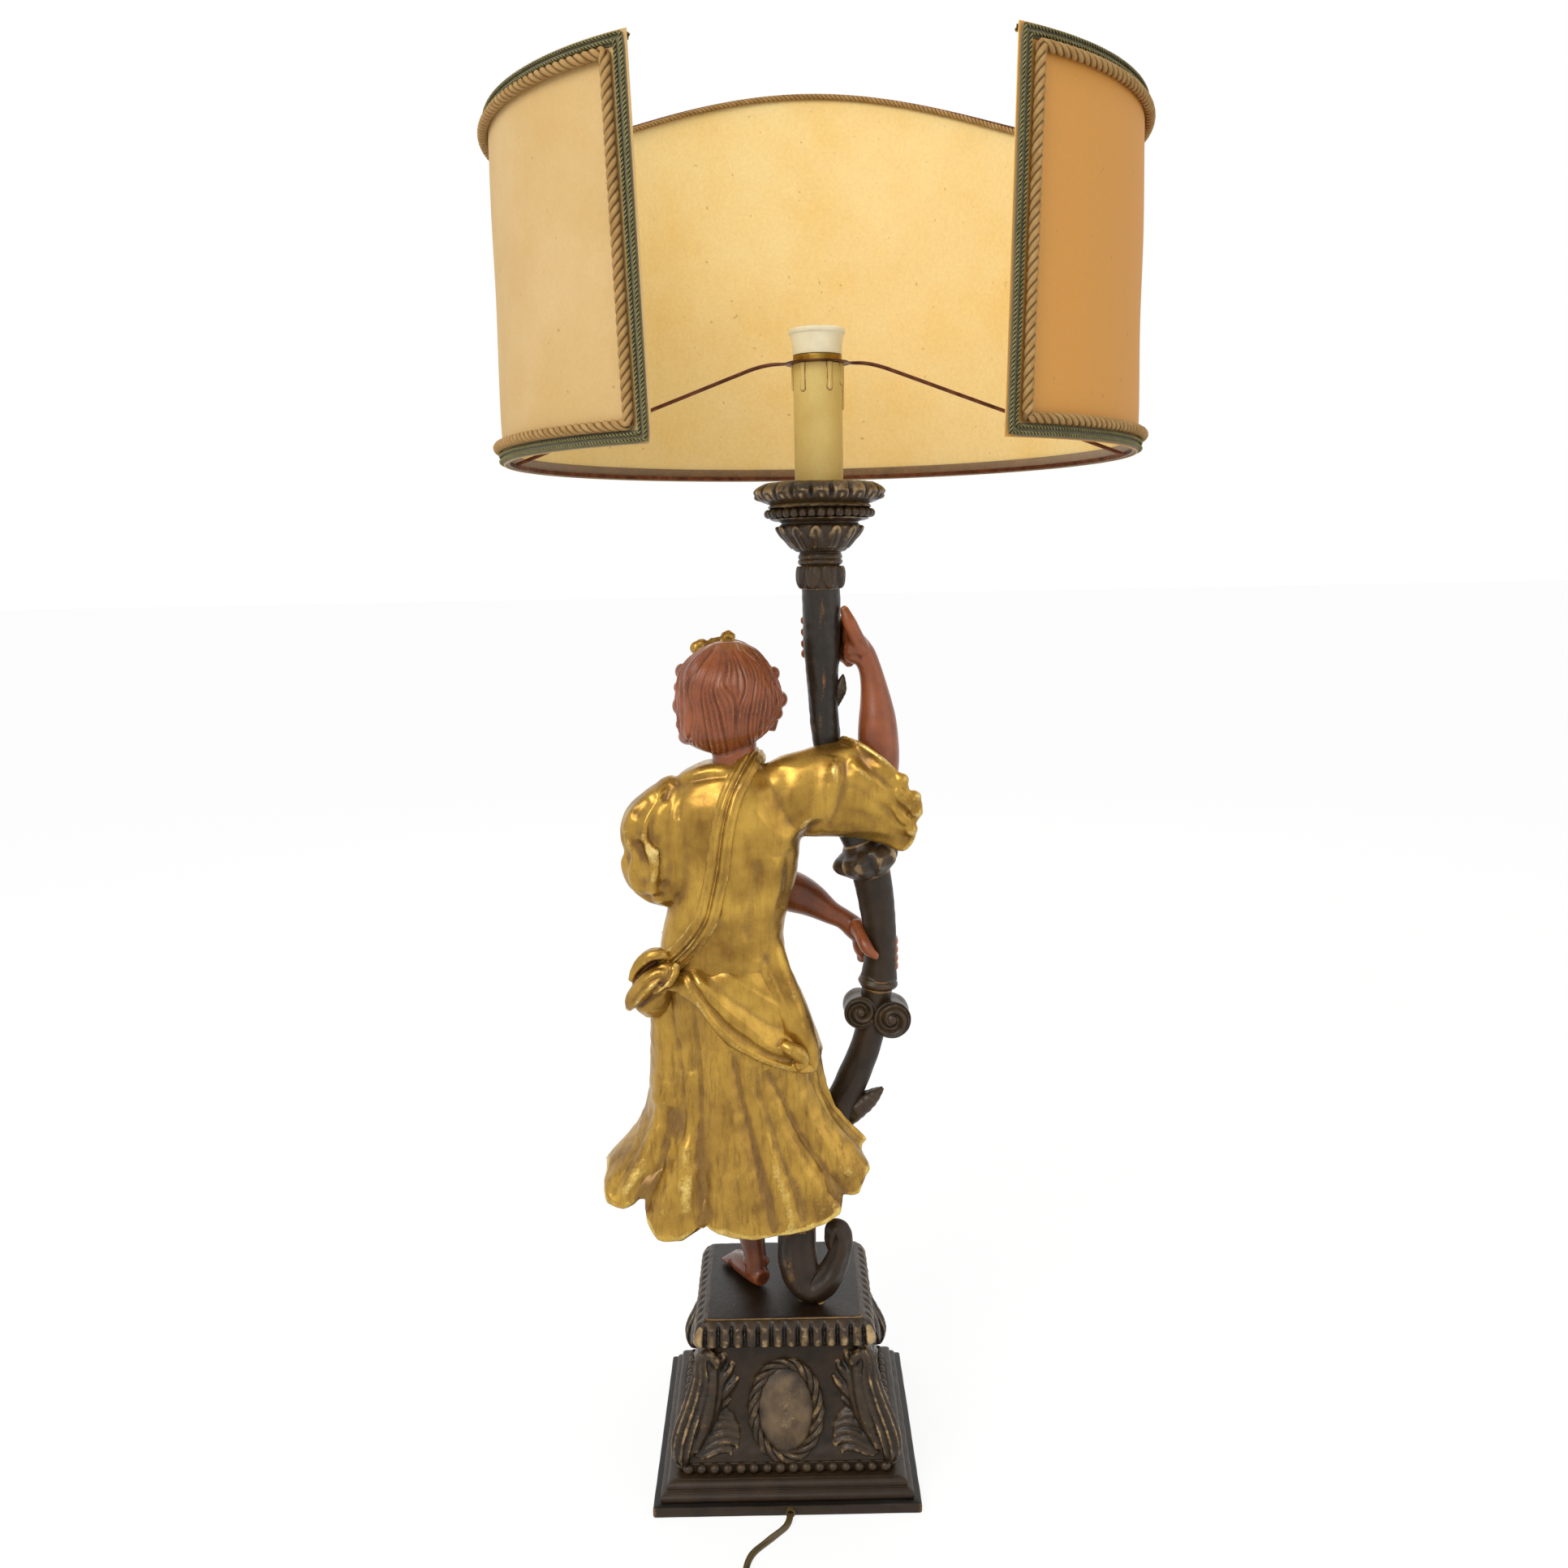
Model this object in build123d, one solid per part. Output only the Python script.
"""Figural table lamp: a gilded wooden figure holds a scrolled pole that carries
a candle-shaped lampholder and an open-backed drum shade.

Millimetres, +Z up. The origin is the centre of the base's underside. The
figure looks towards +Y, and the shade's opening and the cord are at -Y.
"""
from build123d import *
from math import atan2, degrees, pi, radians, tan
import os

os.makedirs("parts", exist_ok=True)

# ---------------------------------------------------------------- base sizes
plinth_width = 222.0
plinth_thickness = 9.0
plinth_opening = 100.0          # square opening under the hollow die
cover_width = 120.0
cover_thickness = 1.5
cover_clearance = 0.3
cover_screw_radius = 1.5
cover_screw_length = 6.0
step_height = 7.5               # each of the two steps of the moulding
step_setback = 6.0
step_cove = 5.0
bead_radius = 4.0
beads_per_side = 16
die_height = 93.0
die_foot_width = 172.0
die_waist_width = 134.0
die_head_width = 124.0
die_cavity_width = 90.0
die_cavity_depth = 76.0
cap_height = 24.0               # lobed cap moulding
cap_rim_width = 140.0
cap_belly_width = 152.0
lobes_per_side = 14
lobe_radius = 4.6
platform_width = 131.0
platform_thickness = 8.0
platform_clearance = 0.25
medallion_width = 50.0
medallion_height = 72.0
medallion_thickness = 5.0
medallion_rope = 5.0
corner_scroll_radius = 7.0

# ---------------------------------------------------------------- pole sizes
pole_height = 604.0             # platform to the underside of the calyx
carved_height = 604.0           # height at which the carving is full size
axis_x = 41.5                   # the candle stands this far off the base's centre
lead_bore_radius = 3.5
lead_radius = 2.4
dowel_radius = 3.0
dowel_length = 26.0
calyx_height = 19.0
calyx_radius = 19.2
neck_radius = 16.5
neck_height = 10.0
bowl_height = 24.0
bowl_radius = 34.7
bead_ring_radius = 43.0
bead_ring_height = 15.0
pan_radius = 50.0
pan_height = 16.0
pan_lobes = 20
pan_lobe_radius = 5.2

# --------------------------------------------------------------- light sizes
candle_length = 93.0
candle_wall = 2.0
candle_clearance = 0.5          # round the holder
tube_radius = 5.0
tube_wall = 1.0
tube_clearance = 0.1
nut_radius = 9.0
nut_thickness = 4.0
holder_wall = 2.0
insert_wall = 1.2
insert_clearance = 0.1
holder_length = 80.0
holder_below_flange = 61.0      # part of the holder that the candle hides
screw_shell_radius = 13.2       # bore of the E27 screw shell
screw_shell_wall = 0.5
screw_shell_length = 40.0
running_clearance = 0.05
flange_width = 8.95             # of the flange's plate, outside the holder
flange_thickness = 1.2
hub_collar_wall = 2.45
hub_collar_height = 5.6
ring_nut_wall = 2.15
ring_nut_height = 20.0
ring_nut_flare = 3.3
ring_nut_lip = 4.0

# --------------------------------------------------------------- shade sizes
shade_radius = 248.0
shade_thickness = 1.0
shade_height = 252.0            # at the sides
shade_arch = 104.0              # rise of the front panel above the sides
shade_drop = 77.0               # from the flange down to the bottom edge
gap_half_top = 122.0
gap_half_bottom = 114.0
braid_width = 10.0
braid_thickness = 3.0
rope_thickness = 7.5
binding_width = 9.0
binding_thickness = 0.8
edge_wire = 3.2
arm_radius = 1.5
arm_reach = 50.0                # from the axis to the arm's bend

# ---------------------------------------------------------------- cord sizes
cord_radius = 2.7
grommet_radius = 3.9
grommet_length = 18.0
grommet_proud = 3.0
switch_length = 56.0
switch_width = 23.0
switch_height = 17.0
switch_wall = 2.2
rocker_length = 16.0
rocker_width = 9.0
rocker_gap = 0.4
rocker_tilt = 6.0               # the rocker rests on one side
coil_radius = 32.4              # middle of the turns
turn_pitch = 5.4                # turns lie side by side
turns_across = 4                # turns of the lower layer
layer_height = 3.3              # the upper layer above the lower one
plug_length = 38.0
plug_width = 26.0
plug_height = 13.0
plug_tail_length = 24.0
pin_radius = 2.0
pin_length = 19.0
pin_spacing = 19.0

# ------------------------------------------------- what fits round the holder
holder_bore = screw_shell_radius + screw_shell_wall + insert_wall + insert_clearance
holder_radius = holder_bore + holder_wall
candle_bore = holder_radius + candle_clearance
candle_radius = candle_bore + candle_wall
hub_bore = holder_radius + running_clearance
hub_collar_radius = hub_bore + hub_collar_wall
flange_radius = hub_bore + flange_width
ring_bore = holder_radius + running_clearance
ring_nut_radius = ring_bore + ring_nut_wall
ring_nut_lip_radius = ring_nut_radius + ring_nut_flare

# ----------------------------------------------------------- derived heights
moulding_z = plinth_thickness
bead_z = moulding_z + 2 * step_height
die_z = bead_z + 2 * bead_radius
cap_z = die_z + die_height
platform_z = cap_z + cap_height + 1.0
platform_seat_z = platform_z - platform_thickness
calyx_z = platform_z + pole_height
neck_z = calyx_z + calyx_height
bowl_z = neck_z + neck_height
bead_ring_z = bowl_z + bowl_height
pan_z = bead_ring_z + bead_ring_height
candle_z = pan_z + pan_height
flange_z = candle_z + candle_length
collar_z = flange_z + flange_thickness
ring_nut_z = collar_z + hub_collar_height
holder_z = flange_z - holder_below_flange
shade_z = flange_z - shade_drop
rise = pole_height / carved_height


def write(node, shape):
    """One STEP file for each node."""
    solids = shape.solids()
    body = solids[0] if len(solids) == 1 else Compound(children=list(solids))
    export_step(body, f"parts/{node}.step")


def level(height):
    """Z of a height that is measured on the carving above the platform."""
    return platform_z + height * rise


def largest(shape):
    return max(shape.solids(), key=lambda solid: solid.volume)


def seat(piece, *neighbours):
    """A carved piece cut to the faces of the pieces that it is glued to."""
    for neighbour in neighbours:
        piece = piece - neighbour
    return largest(piece)


def square_moulding(half_profile):
    """A square form with the same profile of (half width, Z) on its four sides."""
    right = list(half_profile)
    left = [(-x, z) for x, z in reversed(right)]
    outline = make_face(Plane.XZ * Polyline(*(right + left), close=True))
    reach = 2 * max(x for x, z in right)
    across = extrude(outline, amount=reach, both=True)
    return across & (Rotation(0, 0, 90) * across)


def post(width, low, high, x=0.0, y=0.0):
    """A square block between two heights."""
    return Pos(x, y, (low + high) / 2) * Box(width, width, high - low)


def rod(radius, low, high, x=0.0, y=0.0):
    return Pos(x, y, (low + high) / 2) * Cylinder(radius, high - low)


def four_sides(piece):
    """The piece on the -Y face, repeated on each side of the square base."""
    return [Rotation(0, 0, 90 * side) * piece for side in range(4)]


def turned(profile, x=axis_x):
    """A turned piece from its (radius, Z) profile, about the candle's axis."""
    outline = make_face(Plane.XZ * Polyline(*profile, close=True))
    return Pos(x, 0, 0) * revolve(outline, Axis.Z)


def stack(sections):
    """A rounded form through level ellipses of (z, x, y, half x, half y)."""
    return loft([Plane(origin=(x, y, level(z))) * Ellipse(rx, ry) for z, x, y, rx, ry in sections])


def section_planes(stations):
    """Planes square to a path through (x, y, z, radius) stations."""
    points = [Vector(x, y, level(z)) for x, y, z, _ in stations]
    planes = []
    for index, point in enumerate(points):
        before = points[max(index - 1, 0)]
        after = points[min(index + 1, len(points) - 1)]
        along = (after - before).normalized()
        side = Vector(0, 1, 0) if abs(along.Y) < 0.9 else Vector(1, 0, 0)
        across = side - along * side.dot(along)
        planes.append(Plane(origin=point, x_dir=across.normalized(), z_dir=along))
    return planes


def limb(stations, planes=None):
    """A round limb through its stations."""
    planes = planes or section_planes(stations)
    return loft([plane * Circle(station[3]) for plane, station in zip(planes, stations)])


# ---------------------------------------------------------------------- base
cavity = post(die_cavity_width, die_z - 1, die_z + die_cavity_depth)
lead_entry = (15.0, -38.0)      # where the lead enters the pole's foot
lead_hole = rod(lead_bore_radius, die_z, platform_z + 1, *lead_entry)
foot_pins = [(-24.0, -6.0), (14.0, 24.0), (31.0, -42.0)]
pin_low = platform_z - dowel_length / 2
dowels = [rod(dowel_radius, pin_low, pin_low + dowel_length, x, y) for x, y in foot_pins]

cord_exit_x = 2.3
cord_exit_z = plinth_thickness / 2
cord_channel = Pos(cord_exit_x, -plinth_width / 4, cord_exit_z) * Rotation(90, 0, 0) * Cylinder(
    lead_radius + 0.2, plinth_width / 2)
grommet_seat = Pos(cord_exit_x, -plinth_width / 2, cord_exit_z) * Rotation(90, 0, 0) * Cylinder(
    grommet_radius, 2 * (grommet_length - grommet_proud))
cover_screw_at = cover_width / 2 - 5.0
screw_places = [(x, y) for x in (-cover_screw_at, cover_screw_at)
                for y in (-cover_screw_at, cover_screw_at)]
screw_holes = [rod(cover_screw_radius, -1, cover_screw_length, x, y) for x, y in screw_places]

plinth_board = post(plinth_width, 0, plinth_thickness)
plinth_board -= post(plinth_opening, -1, plinth_thickness + 1)
plinth_board -= post(cover_width, -1, cover_thickness)
plinth_board -= cord_channel
plinth_board -= grommet_seat
for hole in screw_holes:
    plinth_board -= hole
write("plinth_board", plinth_board)

base_cover = post(cover_width - 2 * cover_clearance, 0, cover_thickness)
for hole in screw_holes:
    base_cover -= hole
write("base_cover", base_cover)
cover_screws = [rod(cover_screw_radius, 0.1, cover_screw_length, x, y) for x, y in screw_places]
write("cover_screws", Compound(children=cover_screws))

step_half = plinth_width / 2 - step_setback
plinth_moulding = square_moulding([
    (step_half, moulding_z), (step_half, moulding_z + step_height / 2),
    (step_half - step_cove / 2, moulding_z + step_height),
    (step_half - step_cove, moulding_z + step_height),
    (step_half - step_cove, bead_z - step_height / 3),
    (step_half - 2 * step_cove, bead_z)])
plinth_moulding -= post(plinth_opening, moulding_z - 1, bead_z + 1)
write("plinth_moulding", plinth_moulding)

bead_half = die_foot_width / 2 + bead_radius / 2
bead_middle = bead_z + bead_radius
bead_pitch = 2 * bead_half / beads_per_side
bead_row = [Pos(-bead_half + bead_pitch * (bead + 0.5), -bead_half, bead_middle) * Sphere(bead_radius)
            for bead in range(beads_per_side)]
bead_course = post(2 * bead_half, bead_z, die_z)
bead_course = bead_course.fuse(*[bead for side in range(4) for bead in
                                 [Rotation(0, 0, 90 * side) * one for one in bead_row]])
bead_course &= post(plinth_width, bead_z, die_z)
bead_course -= post(die_cavity_width, bead_z - 1, die_z + 1)
write("bead_course", bead_course)

base_die = square_moulding([
    (die_foot_width / 2, die_z), (die_foot_width / 2 - 2, die_z + 5),
    (0.35 * die_foot_width / 2 + 0.65 * die_waist_width / 2, die_z + die_height * 0.27),
    (die_waist_width / 2, die_z + die_height * 0.55),
    (die_head_width / 2, die_z + die_height * 0.8), (die_head_width / 2, cap_z)])
base_die -= cavity
base_die -= lead_hole

# Oval medallions lie on the sloping faces of the die.
medallion_middle = die_z + die_height * 0.41
face_low = die_foot_width / 2 - 2
face_high = die_head_width / 2
face_slope = degrees(atan2(face_low - face_high, die_height * 0.8))
face_depth = -(die_waist_width / 2 + 4.5)
medallion_place = Pos(0, face_depth, medallion_middle) * Rotation(90 - face_slope, 0, 0)
dome_bulge = scale(Sphere(1), (medallion_width / 2, medallion_height / 2, medallion_thickness))
rope_outer = Ellipse(medallion_width / 2 + medallion_rope, medallion_height / 2 + medallion_rope)
medallion_dome = medallion_place * dome_bulge - base_die
medallion_domes = four_sides(largest(medallion_dome))
write("medallion_domes", Compound(children=medallion_domes))
medallion_rope_ring = medallion_place * (Pos(0, 0, -medallion_rope) * extrude(
    rope_outer - Ellipse(medallion_width / 2, medallion_height / 2), amount=2 * medallion_rope))
medallion_ropes = four_sides(seat(medallion_rope_ring & post(plinth_width, die_z, cap_z), base_die,
                                  medallion_domes[0]))
write("medallion_ropes", Compound(children=medallion_ropes))

# A scroll runs down each corner of the die, with a leaf on both sides of it.
corner_points = [(die_head_width / 2 + 3, cap_z - 9), (die_waist_width / 2 + 1, die_z + die_height * 0.6),
                 (die_waist_width / 2 + 4, die_z + die_height * 0.35), (die_foot_width / 2 - 3, die_z + 12)]
corner_stations = [(x, x, z) for x, z in corner_points]


def leaf(side):
    """A flat leaf that leans from a corner towards the medallion."""
    edge = [(0, 0), (16, 6), (28, -2), (34, 10), (20, 26), (10, 52), (0, 62)]
    outline = make_face(Polyline(*[(side * across, up) for across, up in edge], close=True))
    return Pos(-side * 68, face_depth + 2, die_z + 14) * Rotation(90 - face_slope, 0, 0) * extrude(
        outline, amount=6, both=True)


corner_scroll = loft([Plane(origin=(-x, -y, z)) * Circle(corner_scroll_radius)
                      for x, y, z in corner_stations])
leaf_left = leaf(1)
leaf_right = Rotation(0, 0, -90) * leaf(-1)
corner_piece = seat((corner_scroll + leaf_left + leaf_right) & post(
    plinth_width, die_z, cap_z), base_die, *medallion_ropes, *medallion_domes)
corner_acanthus = four_sides(corner_piece)
write("corner_acanthus", Compound(children=corner_acanthus))
write("base_die", base_die)

rim_inside = platform_width + 2 * platform_clearance
gadroon_board = square_moulding([
    (die_head_width / 2 + 1, cap_z), (cap_belly_width / 2 - 3, cap_z + 4), (cap_belly_width / 2, cap_z + 8),
    (cap_rim_width / 2, cap_z + cap_height)])
lobe_pitch = cap_belly_width / lobes_per_side
lobe_lean = degrees(atan2((cap_belly_width - cap_rim_width) / 2, cap_height - 8))
lobe_form = Rotation(-lobe_lean, 0, 0) * Cylinder(lobe_radius, cap_height - 6)
lobe_row = [Pos(-cap_belly_width / 2 + lobe_pitch * (lobe + 0.5), -(cap_belly_width + cap_rim_width) / 4,
                cap_z + cap_height / 2 + 2) * lobe_form for lobe in range(lobes_per_side)]
gadroon_moulding = gadroon_board.fuse(*[lobe for side in range(4) for lobe in
                                        [Rotation(0, 0, 90 * side) * one for one in lobe_row]])
gadroon_moulding &= post(plinth_width, cap_z, platform_z)
gadroon_moulding -= post(rim_inside, platform_seat_z, platform_z + 5)
for hole in (lead_hole, *dowels):
    gadroon_moulding -= hole
write("gadroon_moulding", gadroon_moulding)

platform_board = post(platform_width, platform_seat_z, platform_z)
for hole in (lead_hole, *dowels):
    platform_board -= hole
write("platform_board", platform_board)
write("dowels", Compound(children=dowels))

# ---------------------------------------------------------------------- pole
# Stations of (x, y, height above the platform, radius) from the foot upwards.
foot_path = [(52, -38, 40, 8.0), (49, -40, 26, 9.5), (41, -42, 15, 11.0), (29, -42, 11, 12.5),
             (17, -39, 16, 14.5), (12, -34, 30, 15.5), (11.5, -28, 47, 15.5)]
lower_path = [(13, -21, 66, 15.5), (22, -8, 95, 15.0), (36, 5, 124, 14.5), (50, 12, 151, 14.0),
              (64, 15, 180, 13.5), (77, 15, 214, 12.5), (84, 15, 250, 12.5)]
collar_path = [(86, 14.8, 262, 13.0), (86.8, 14.6, 268, 17.0), (87.4, 14.4, 272, 13.5)]
middle_path = [(88.5, 14, 290, 13.0), (88, 12.5, 315, 13.0), (84, 11, 348, 15.0), (80.5, 10, 366, 15.5)]
knuckle_path = [(77, 10, 378, 26.0), (72.5, 9.5, 391, 15.0)]
upper_path = [(65, 9, 407, 14.0), (56, 8, 425, 13.0), (49.5, 6, 447, 12.5), (46, 5, 470, 12.0),
              (43.5, 3, 492, 12.0), (42, 2, 522, 12.5), (41.8, 1, 556, 15.0), (42, 0.4, 585, 15.6),
              (axis_x, 0, 604, 15.6)]
pole_parts = [foot_path, lower_path, collar_path, middle_path, knuckle_path, upper_path]
pole_path = [station for path in pole_parts for station in path]
pole_planes = section_planes(pole_path)
pole_planes[-1] = Plane(origin=(axis_x, 0, level(604)), x_dir=(0, 1, 0), z_dir=(0, 0, 1))


def pole_piece(first, last=None):
    """The pole from one station up to another, both included."""
    start = pole_path.index(first)
    end = len(pole_path) if last is None else pole_path.index(last) + 1
    return limb(pole_path[start:end], pole_planes[start:end])


lead_start = pole_path.index(lower_path[0])
entry_planes = [Plane(origin=(*lead_entry, platform_z - 1), x_dir=(0, 1, 0), z_dir=(0, 0, 1)),
                Plane(origin=(*lead_entry, platform_z + 8), x_dir=(0, 1, 0), z_dir=(0, 0, 1)),
                pole_planes[lead_start - 1]]


def lead_form(radius):
    """The lead's way through the pole, from its foot to the calyx."""
    return loft([plane * Circle(radius) for plane in entry_planes + pole_planes[lead_start:]])


lead_bore = lead_form(lead_bore_radius)
eye_x, eye_y, eye_height = 45.0, -38.0, 46.0
foot_eye = Pos(eye_x, eye_y, level(eye_height)) * Rotation(90, 0, 0) * Cylinder(13.0, 20.0)
foot_solid = pole_piece(foot_path[0], lower_path[0]) + foot_eye
pole_foot_scroll = seat(foot_solid, post(plinth_width, cap_z, platform_z), lead_bore, dowels[2])
pole_lower_solid = pole_piece(lower_path[0], collar_path[0])
collar_solid = pole_piece(collar_path[0], middle_path[0])
middle_solid = pole_piece(middle_path[0], middle_path[-1])
knuckle_solid = pole_piece(middle_path[-1], knuckle_path[-1])
upper_solid = pole_piece(knuckle_path[-1])
pole_lower = seat(pole_lower_solid, pole_foot_scroll, lead_bore)
volute_collar = seat(collar_solid, pole_lower, lead_bore)
pole_middle = seat(middle_solid, volute_collar, lead_bore)
pole_knuckle = seat(knuckle_solid, pole_middle, lead_bore)
pole_upper = seat(upper_solid, pole_knuckle, lead_bore)

volute_discs = []
for x, y, height, radius in ((70.5, 14, 243, 14.0), (97.5, 14, 236, 16.5)):
    disc = Pos(x, y, level(height)) * Rotation(90, 0, 0) * Cylinder(radius, 30.0)
    volute_discs.append(seat(disc, pole_lower_solid, collar_solid, *volute_discs))

branch_leaf = limb([(58, 14, 140, 6.0), (66, 14, 152, 8.5), (76, 14, 160, 7.5), (87, 14, 167, 4.0)])
spike_leaf = limb([(53, 4, 512, 5.0), (56.5, 3, 522, 6.5), (58, 2, 531, 1.5)])
pole_leaves = [seat(branch_leaf, pole_lower_solid), seat(spike_leaf, upper_solid)]

for node, solid in (("pole_foot_scroll", pole_foot_scroll), ("pole_lower", pole_lower),
                    ("volute_collar", volute_collar), ("pole_middle", pole_middle),
                    ("pole_knuckle", pole_knuckle), ("pole_upper", pole_upper)):
    write(node, solid)
write("volutes", Compound(children=volute_discs))
write("pole_leaves", Compound(children=pole_leaves))
pole_solids = [foot_solid, pole_lower_solid, collar_solid, middle_solid, knuckle_solid, upper_solid]

# -------------------------------------------------------------------- capital
tube_bore = tube_radius + tube_clearance
tube_low = calyx_z + calyx_height / 2
calyx = turned([(0, calyx_z), (15.6, calyx_z), (calyx_radius, calyx_z + 5), (calyx_radius - 1, neck_z - 5),
                (neck_radius - 1, neck_z), (0, neck_z)])
calyx -= rod(lead_bore_radius, calyx_z - 1, tube_low, axis_x)
calyx -= rod(tube_bore, tube_low, neck_z + 1, axis_x)
write("calyx", calyx)

capital_bowl = turned([
    (tube_bore, neck_z), (neck_radius - 1, neck_z), (neck_radius, neck_z + neck_height / 2),
    (neck_radius - 1, bowl_z), (neck_radius + 4, bowl_z + 1), (bowl_radius - 6, bowl_z + bowl_height * 0.5),
    (bowl_radius, bowl_z + bowl_height * 0.8), (bowl_radius - 4, bead_ring_z),
    (bead_ring_radius - 5, bead_ring_z + 2), (bead_ring_radius - 1, bead_ring_z + 4),
    (bead_ring_radius - 1, pan_z - 3), (bead_ring_radius - 4, pan_z), (tube_bore, pan_z)])
ring_beads = 34
ring_bead_form = [Pos(axis_x, 0, 0) * Rotation(0, 0, 360 * bead / ring_beads) * Pos(
    bead_ring_radius - 1, 0, (bead_ring_z + pan_z) / 2) * Sphere(3.4) for bead in range(ring_beads)]
capital_bowl = capital_bowl.fuse(*ring_bead_form)
write("capital_bowl", capital_bowl)

drip_pan = turned([(tube_bore, pan_z), (bead_ring_radius - 2, pan_z), (pan_radius - 2, pan_z + 3),
                   (pan_radius, pan_z + pan_height * 0.6), (pan_radius - 3, candle_z),
                   (tube_bore, candle_z)])
pan_lobe_form = [Pos(axis_x, 0, 0) * Rotation(0, 0, 360 * lobe / pan_lobes) * Pos(
    pan_radius - 1, 0, pan_z + pan_height * 0.58) * Sphere(pan_lobe_radius) for lobe in range(pan_lobes)]
drip_pan = drip_pan.fuse(*pan_lobe_form)
write("drip_pan", drip_pan)

# --------------------------------------------------------------- lampholder
tube_high = holder_z + holder_wall + 3.0
lamp_tube = rod(tube_radius, tube_low, tube_high, axis_x) - rod(
    tube_radius - tube_wall, tube_low - 1, tube_high + 1, axis_x)
write("lamp_tube", lamp_tube)


def tube_nut(low):
    outline = RegularPolygon(nut_radius, 6)
    nut = Pos(axis_x, 0, low) * extrude(outline, amount=nut_thickness)
    return nut - rod(tube_radius, low - 1, low + nut_thickness + 1, axis_x)


write("tube_nuts", Compound(children=[tube_nut(candle_z), tube_nut(holder_z - nut_thickness)]))

candle_sleeve = rod(candle_radius, candle_z, flange_z, axis_x)
drips = [(-128.5, 22.0), (-62.5, 21.5), (178, 20.0), (-2, 36.0), (60, 26.0), (120, 30.0)]
for angle, length in drips:
    place = Pos(axis_x, 0, 0) * Rotation(0, 0, angle) * Pos(candle_radius - 0.6, 0, 0)
    run = place * rod(2.0, flange_z - length, flange_z)
    drop = place * Pos(0, 0, flange_z - length) * Sphere(2.6)
    candle_sleeve = candle_sleeve.fuse(run, drop)
candle_sleeve &= post(4 * candle_radius, candle_z, flange_z, axis_x)
candle_sleeve -= rod(candle_bore, candle_z - 1, flange_z + 1, axis_x)
write("candle_sleeve", candle_sleeve)

holder_top = holder_z + holder_length
holder_shell = rod(holder_radius, holder_z, holder_top, axis_x)
holder_shell -= rod(holder_bore, holder_z + holder_wall, holder_top + 1, axis_x)
holder_shell -= rod(tube_radius, holder_z - 1, holder_z + holder_wall + 1, axis_x)
write("holder_shell", holder_shell)

insert_radius = holder_bore - insert_clearance
insert_z = holder_z + holder_wall + 6.0
shell_outer = screw_shell_radius + screw_shell_wall
screw_z = holder_top - screw_shell_length - 2.0
holder_insert = rod(insert_radius, insert_z, holder_top - 2, axis_x)
holder_insert -= rod(shell_outer, screw_z, holder_top, axis_x)
holder_insert -= rod(4.0, insert_z - 1, screw_z + 1, axis_x)
write("holder_insert", holder_insert)
screw_shell = rod(shell_outer, screw_z, screw_z + screw_shell_length, axis_x)
screw_shell -= rod(screw_shell_radius, screw_z - 1, holder_top, axis_x)
centre_contact = rod(4.0, screw_z - 8.0, screw_z - 1.0, axis_x)
write("socket_contacts", Compound(children=[screw_shell, centre_contact]))

ring_top = ring_nut_z + ring_nut_height
ring_nut = turned([
    (ring_bore, ring_nut_z), (ring_nut_radius, ring_nut_z),
    (ring_nut_radius + 1.4, ring_top - ring_nut_lip - 1), (ring_nut_lip_radius, ring_top - ring_nut_lip),
    (ring_nut_lip_radius, ring_top - 1), (ring_nut_lip_radius - 1, ring_top), (ring_bore - 1.5, ring_top),
    (ring_bore - 1.5, holder_top + 0.4), (ring_bore, holder_top + 0.4)])
write("ring_nut", ring_nut)

# ------------------------------------------------------------------ the lead
lead_low = (cord_exit_x, -plinth_width / 2 + grommet_length - grommet_proud, cord_exit_z)
cavity_edge = -min(plinth_opening, die_cavity_width) / 2
lead_points = [lead_low, (cord_exit_x, cavity_edge + 6, cord_exit_z),
               (cord_exit_x + 4, cavity_edge + 16, 32), (lead_entry[0], lead_entry[1] + 4, 66),
               (*lead_entry, 104), (*lead_entry, platform_z - 1)]


def bend_radii(points):
    """Radius of each corner: 0.45 of the shorter run over the half turn's tangent."""
    radii = []
    for before, corner, after in zip(points, points[1:], points[2:]):
        run_in = Vector(*corner) - Vector(*before)
        run_out = Vector(*after) - Vector(*corner)
        half_turn = radians(run_in.get_angle(run_out)) / 2
        radii.append(0.45 * min(run_in.length, run_out.length) / tan(half_turn))
    return radii


def tube_along(points, radius):
    """A round tube along straight runs joined by tangent arcs."""
    path = FilletPolyline(*points, radius=bend_radii(points))
    start = Plane(origin=path @ 0, z_dir=path % 0)
    return sweep(start * Circle(radius), path=path), path.length


lead_tail, _ = tube_along(lead_points, lead_radius)
lead_body = lead_form(lead_radius)
lead_head = rod(lead_radius, calyx_z, holder_z + holder_wall + 5.0, axis_x)
inner_lead = lead_tail.fuse(lead_body, lead_head)
write("inner_lead", inner_lead)

# -------------------------------------------------------------------- figure
# Level sections of (height above the platform, x, y, half width, half depth).
skirt_sections = [(62, -37, -8, 82, 58), (90, -40, -8, 108, 62), (114, -38, -8, 104, 59),
                  (155, -31.5, -8, 87, 50), (206, -37.5, -9, 74, 44), (250, -43, -10, 62, 40),
                  (282, -47, -12, 56, 36)]
tunic_sections = [(282, -47, -12, 56, 36), (322, -45, -14, 52, 33), (362, -35, -14, 50, 35),
                  (395, -33, -14, 54, 37), (425, -35, -14, 57, 36), (450, -37, -14, 46, 29),
                  (466, -36, -14, 25, 20)]
peplum_sections = [(190, -36, -12, 84, 56), (235, -41, -13, 70, 50), (282, -47, -13, 60, 41)]
leg_left = limb([(-30, -4, 76, 13.0), (-28, -6, 50, 12.0), (-25, -8, 28, 10.5), (-25, -8, 14, 10.5)])
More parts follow.
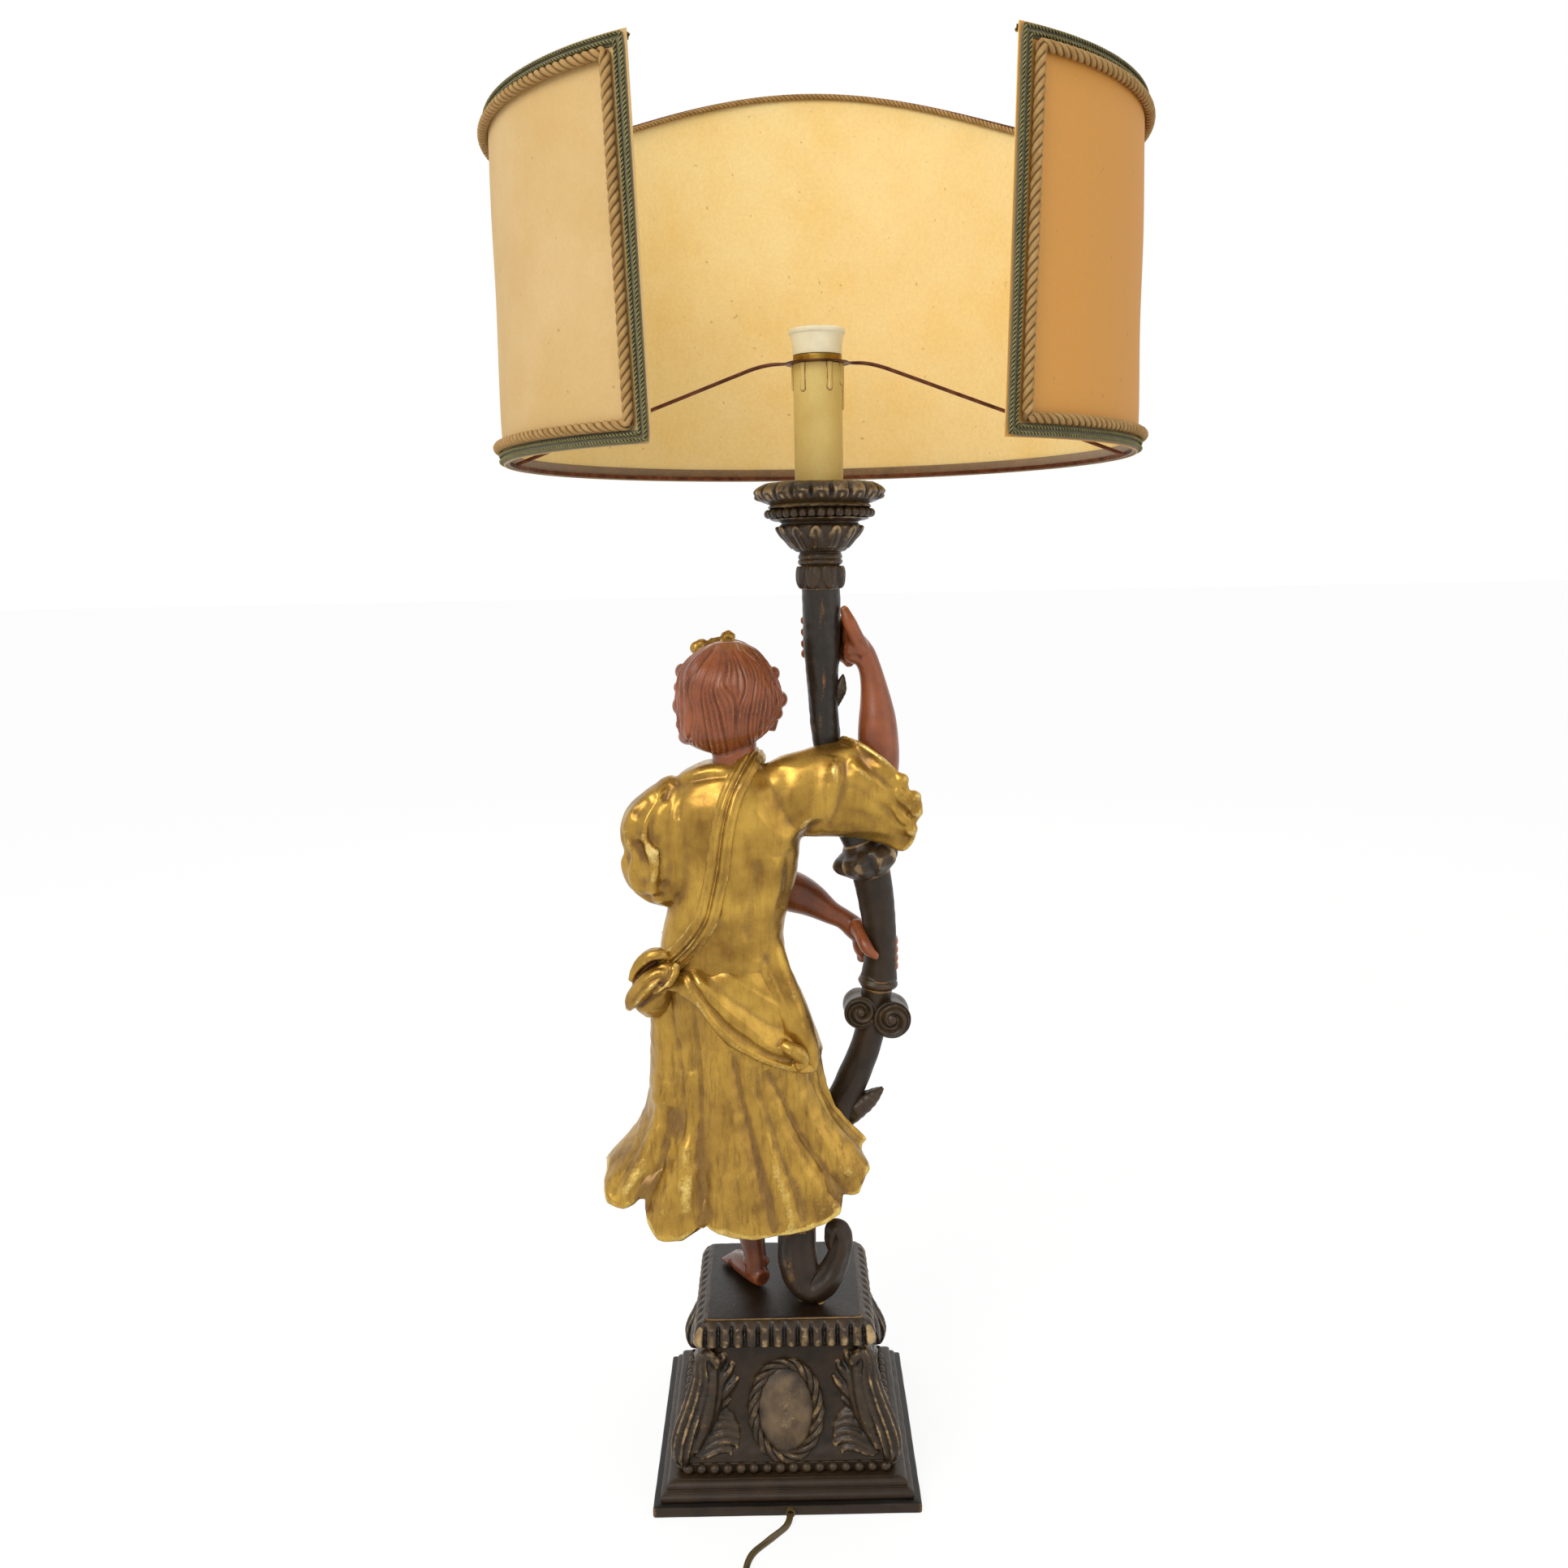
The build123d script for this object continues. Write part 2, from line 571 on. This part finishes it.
foot_left = limb([(-19, -16, 9, 9.0), (-27, -4, 10, 10.5), (-38, 16, 7.5, 11.0), (-49, 35, 5.5, 8.5)])
leg_right = limb([(-2, 8, 76, 13.0), (6, 12, 50, 12.0), (12, 16, 28, 10.5), (13, 17, 14, 10.5)])
foot_right = limb([(14, 8, 9, 9.0), (14, 20, 10, 10.5), (12, 40, 7.5, 11.0), (8, 58, 5.5, 8.5)])
underfloor = post(plinth_width, cap_z, platform_z)
left_leg = seat(leg_left + foot_left, underfloor, dowels[0])
right_leg = seat(leg_right + foot_right, underfloor, dowels[1], pole_foot_scroll, pole_lower_solid)
write("left_leg", left_leg)
write("right_leg", right_leg)

tunic_solid = stack(tunic_sections)
skirt_solid = stack(skirt_sections)
skirt = seat(skirt_solid, left_leg, right_leg, *pole_solids[:2])
write("skirt", skirt)
tunic = seat(tunic_solid, *pole_solids[3:])
write("tunic", tunic)
peplum_cut = Pos(-36, -12, level(196)) * Rotation(0, 22, 0) * Box(300, 300, 60)
overskirt = seat(stack(peplum_sections) - peplum_cut, skirt_solid, *pole_solids[1:4])
write("overskirt", overskirt)

knot_form = stack([(251, -105, -22, 9, 9), (262, -106, -24, 18, 17), (280, -106, -26, 21, 19),
                   (297, -104, -24, 17, 16), (306, -102, -23, 8, 8)])
hip_knot = seat(knot_form, tunic_solid, skirt_solid, overskirt)
write("hip_knot", hip_knot)


def back_of_tunic(x, height):
    """Depth of the tunic's back at a place, between its level sections."""
    for low, high in zip(tunic_sections, tunic_sections[1:]):
        if low[0] <= height <= high[0]:
            share = (height - low[0]) / (high[0] - low[0])
            _, middle_x, middle_y, half_x, half_y = [a + (b - a) * share for a, b in zip(low, high)]
            across = min(abs(x - middle_x) / half_x, 0.9)
            return middle_y - half_y * (1 - across ** 2) ** 0.5
    return tunic_sections[-1][2]


sash_path = [(-14, 462), (-29, 448), (-41, 412), (-49, 365), (-69, 322), (-88, 300)]
sash_form = limb([(x, back_of_tunic(x, height), height, 7.0) for x, height in sash_path])
sash = seat(sash_form, tunic_solid, hip_knot, overskirt)
write("sash", sash)


def arm_form(sections):
    """A sleeve through upright ellipses of (x, y, height, half depth, half height)."""
    return loft([Plane(origin=(x, y, level(z)), x_dir=(0, 1, 0), z_dir=(1, 0, 0)) * Ellipse(ry, rz)
                 for x, y, z, ry, rz in sections])


raised_sleeve_solid = arm_form([(-5, -14, 432, 26, 34), (30, -13, 436, 24, 37), (70, -11, 440, 25, 36),
                                (98, -8, 427, 23, 34), (115, -7, 418, 14, 16)])
raised_sleeve = seat(raised_sleeve_solid, tunic_solid, *pole_solids[3:], sash)
write("raised_sleeve", raised_sleeve)
lowered_sleeve_solid = stack([(350, -97, -14, 13, 14), (362, -100, -14, 20, 22), (392, -104, -15, 24, 27),
                              (430, -99, -15, 22, 26), (448, -92, -15, 12, 14)])
lowered_sleeve = seat(lowered_sleeve_solid, tunic_solid)
write("lowered_sleeve", lowered_sleeve)

raised_arm_path = [(91, -4, 450, 14.0), (86, -2, 478, 16.5), (85, 0, 515, 13.5), (78, 3, 548, 8.5),
                   (68, 4, 568, 9.0), (59, 2, 588, 4.5)]
raised_forearm = seat(limb(raised_arm_path), raised_sleeve_solid, *pole_solids[3:], pole_leaves[1])
write("raised_forearm", raised_forearm)
lowered_arm_path = [(-98, 0, 360, 13.0), (-75, 30, 350, 15.0), (-25, 42, 350, 16.0), (15, 38, 342, 16.5),
                    (58, 28, 320, 8.0), (78, 27, 308, 10.0), (96, 26, 296, 6.0)]
lowered_forearm = seat(limb(lowered_arm_path), lowered_sleeve_solid, tunic_solid, *pole_solids[2:5])
write("lowered_forearm", lowered_forearm)

skull = stack([(473, -35, -14, 16, 17), (482, -35, -13, 31, 31), (500, -35, -12, 41, 40),
               (520, -35, -12, 43, 43), (540, -35, -12, 38, 39), (556, -36, -12, 25, 26),
               (562, -36, -12, 12, 13)])
neck_form = limb([(-33, -14, 448, 21.0), (-32, -14, 470, 18.0), (-33, -13, 496, 18.0)])
head = seat(skull + neck_form, tunic_solid, raised_sleeve_solid, sash)
write("head", head)
bow_form = limb([(-68, 3, 553, 3.0), (-62, 3, 556, 7.0), (-49, 3, 561, 6.0), (-36, 3, 566, 7.5),
                 (-29, 3, 568, 3.5)])
hair_bow = seat(bow_form, skull)
write("hair_bow", hair_bow)

# --------------------------------------------------------------------- shade
side_top = shade_z + shade_height
front_top = side_top + shade_arch


def shade_outline(inset):
    """The space inside the shade's edges, set in from them by a distance."""
    reach = shade_radius + 20
    low = shade_z + inset
    side_high = side_top - inset
    rear = Pos(0, -reach, 0) * extrude(make_face(Plane.XZ * Polyline(
        (-reach, low), (reach, low), (reach, side_high), (-reach, side_high), close=True)), amount=-reach)
    lean = (gap_half_top - gap_half_bottom) / shade_height
    gap_low = gap_half_bottom + inset
    gap_high = gap_low + lean * (shade_height + 40)
    gap = make_face(Plane.XZ * Polyline(
        (-gap_low, low - 20), (gap_low, low - 20), (gap_high, side_high + 20), (-gap_high, side_high + 20),
        close=True))
    rear -= Pos(0, -reach - 10, 0) * extrude(gap, amount=-reach - 10)
    steps = 16
    arch = []
    for step in range(steps + 1):
        share = 1 - 2 * step / steps
        arch.append((share * shade_radius, side_high + shade_arch * (1 - share ** 2)))
    front_edges = Polyline((-reach, side_high), (-reach, low), (reach, low), (reach, side_high), arch[0])
    front_curve = Spline(*arch)
    front_end = Line(arch[-1], (-reach, side_high))
    front = extrude(make_face(Plane.XZ * (front_edges + front_curve + front_end)), amount=-reach)
    return Pos(axis_x, 0, 0) * (rear + front)


outlines = {}


def shade_wall(inner, outer, inset):
    """The part of a round wall that lies inside the shade's edges."""
    if inset not in outlines:
        outlines[inset] = shade_outline(inset)
    wall = rod(outer, shade_z - 5, front_top + 5, axis_x) - rod(inner, shade_z - 6, front_top + 6, axis_x)
    return wall & outlines[inset]


paper_in = shade_radius - shade_thickness / 2
paper_out = shade_radius + shade_thickness / 2
parchment = shade_wall(paper_in, paper_out, 0)
write("parchment", parchment)
braid_out = paper_out + braid_thickness
braid_trim = shade_wall(paper_out, braid_out, 0) - shade_wall(paper_out - 1, braid_out + 1, braid_width)
write("braid_trim", braid_trim)
rope_inset = braid_width + rope_thickness
rope_trim = shade_wall(paper_out, paper_out + rope_thickness, braid_width) - shade_wall(
    paper_out - 1, paper_out + rope_thickness + 1, rope_inset)
write("rope_trim", rope_trim)
shade_frame = shade_wall(paper_in - edge_wire, paper_in, 1.0) - shade_wall(
    paper_in - edge_wire - 1, paper_in + 1, 1.0 + edge_wire)
write("shade_frame", shade_frame)
binding_start = 1.0 + edge_wire
shade_binding = shade_wall(paper_in - binding_thickness, paper_in, binding_start) - shade_wall(
    paper_in - binding_thickness - 1, paper_in + 1, binding_start + binding_width)
write("shade_binding", shade_binding)

shade_hub = turned([(hub_bore, flange_z), (flange_radius, flange_z), (flange_radius, collar_z),
                    (hub_collar_radius, collar_z), (hub_collar_radius, ring_nut_z), (hub_bore, ring_nut_z)])
write("shade_hub", shade_hub)
arm_z = flange_z + flange_thickness / 2
ring_inside = paper_in - edge_wire
arm_end_z = shade_z + 1.0 + edge_wire / 2
arms = []
for side in (-1, 1):
    bend = (axis_x + side * arm_reach, 0, arm_z - 2.0)
    route = [(axis_x + side * (flange_radius - 2), 0, arm_z), bend,
             (axis_x + side * (ring_inside + 1), 0, arm_end_z)]
    arm_path = FilletPolyline(*route, radius=20.0)
    arm = sweep(Plane(origin=arm_path @ 0, z_dir=arm_path % 0) * Circle(arm_radius), path=arm_path)
    arms.append(seat(arm, shade_hub, shade_frame))
write("shade_arms", Compound(children=arms))

# ---------------------------------------------------------------------- cord
grommet_middle = -plinth_width / 2 + grommet_length / 2 - grommet_proud
cord_grommet = Pos(cord_exit_x, grommet_middle, cord_exit_z) * Rotation(90, 0, 0) * Cylinder(
    grommet_radius, grommet_length)
cord_grommet -= Pos(cord_exit_x, grommet_middle, cord_exit_z) * Rotation(90, 0, 0) * Cylinder(
    cord_radius, grommet_length + 2)
cord_grommet = seat(cord_grommet, post(2 * plinth_width, -20, 0.2))
write("cord_grommet", cord_grommet)

# The free cord lies on the surface under the base, in the order that it leaves it.
floor_z = cord_radius + 0.05
switch_x, switch_y = 31.0, -216.0
cord_points = [(cord_exit_x, -114.0, cord_exit_z), (1.5, -124.0, 3.6), (-7.0, -134.0, floor_z),
               (-18.0, -144.0, floor_z), (-28.0, -155.0, floor_z), (-33.0, -170.0, floor_z),
               (-33.0, -186.0, floor_z), (-26.0, -201.0, floor_z), (-13.0, -212.0, floor_z),
               (switch_x - switch_length / 2 + 1.5, switch_y, floor_z)]
first_tube, first_length = tube_along(cord_points, cord_radius)
coil_x, coil_y = 106.0, -256.5
coil_points = [(switch_x + switch_length / 2 - 1.5, switch_y, floor_z), (70.0, -215.6, floor_z),
               (83.0, -215.5, floor_z), (95.5, -216.3, floor_z)]
coil_inner = coil_radius - turn_pitch * turns_across / 2
coil_outer = coil_radius + turn_pitch * turns_across / 2
coil_top = 2 * cord_radius + layer_height


def coil_ring(inner, outer, top, arc):
    """A band of turns, from a radius to another, that goes this many degrees round."""
    section = Pos((inner + outer) / 2, 0) * RectangleRounded(outer - inner, top, cord_radius)
    band = revolve(Plane.XZ * section, Axis.Z, arc)
    return Pos(coil_x, coil_y, top / 2 + 0.05) * Rotation(0, 0, -90) * band


# The last half turn lies outside the others, on the side away from the plug.
cord_coil = coil_ring(coil_inner, coil_outer, coil_top, 360)
cord_coil += coil_ring(coil_outer - turn_pitch, coil_outer + turn_pitch, 2 * cord_radius + 0.01, 180)
write("cord_coil", cord_coil)
second_tube, second_length = tube_along(coil_points, cord_radius)
for name, points, length, solid in (("first", cord_points, first_length, first_tube),
                                    ("second", coil_points, second_length, second_tube)):
    share = solid.volume / (pi * cord_radius ** 2 * length)
    print(name, "cord radii", [round(radius, 1) for radius in bend_radii(points)],
          "length", round(length, 1), "volume share", round(share, 4))

switch_outer = Pos(switch_x, switch_y, switch_height / 2) * Box(switch_length, switch_width, switch_height)
switch_outer = fillet(switch_outer.edges().filter_by(Axis.Z), 8.0)
switch_outer = fillet(switch_outer.faces().sort_by(Axis.Z)[-1].edges(), 2.5)
inside_length = switch_length - 2 * switch_wall - 8
switch_cavity = Pos(switch_x, switch_y, switch_height / 2) * Box(
    inside_length, switch_width - 2 * switch_wall, switch_height - 2 * switch_wall)
rocker_window = Pos(switch_x, switch_y, switch_height) * Box(
    rocker_length + 2 * rocker_gap, rocker_width + 2 * rocker_gap, 4 * switch_wall)
switch_body = switch_outer - switch_cavity - rocker_window
write("switch_body", switch_body)
write("cord_to_switch", seat(first_tube, switch_outer))
write("cord_to_coil", seat(second_tube, switch_outer, cord_coil))
rocker_pivot_z = switch_height - switch_wall
rocker_end = rocker_length / 2
rocker_profile = make_face(Plane.XZ * Polyline(
    (-rocker_end, switch_wall + 1.2), (0, switch_wall), (rocker_end, switch_wall + 1.2),
    (rocker_end - 0.6, -switch_wall), (0, -switch_wall - 0.6), (-rocker_end + 0.6, -switch_wall),
    close=True))
switch_rocker = Pos(switch_x, switch_y, rocker_pivot_z) * Rotation(0, rocker_tilt, 0) * extrude(
    rocker_profile, amount=rocker_width / 2, both=True)
write("switch_rocker", switch_rocker)

plug_y = coil_y - coil_outer - turn_pitch / 2
plug_x = coil_x - plug_tail_length - plug_length / 2
plug_base = Pos(plug_x, plug_y, plug_height / 2 + 0.1) * Box(plug_length, plug_width, plug_height)
plug_base = fillet(plug_base.edges().filter_by(Axis.Z), 5.0)
plug_base = fillet(plug_base.faces().sort_by(Axis.Z)[-1].edges(), 3.0)
plug_tail = Pos(coil_x - plug_tail_length / 2, plug_y, floor_z + 1.5) * Rotation(0, 90, 0) * Cone(
    4.0, 3.0, plug_tail_length)
pins = []
for side in (-1, 1):
    pin = Pos(plug_x - plug_length / 2 - pin_length / 2 + 3, plug_y + side * pin_spacing / 2,
              plug_height / 2 + 0.1) * Rotation(0, 90, 0) * Cylinder(pin_radius, pin_length + 6)
    pins.append(pin)
plug_body = seat(plug_base + plug_tail, cord_coil, *pins)
write("plug_body", plug_body)
write("plug_pins", Compound(children=pins))
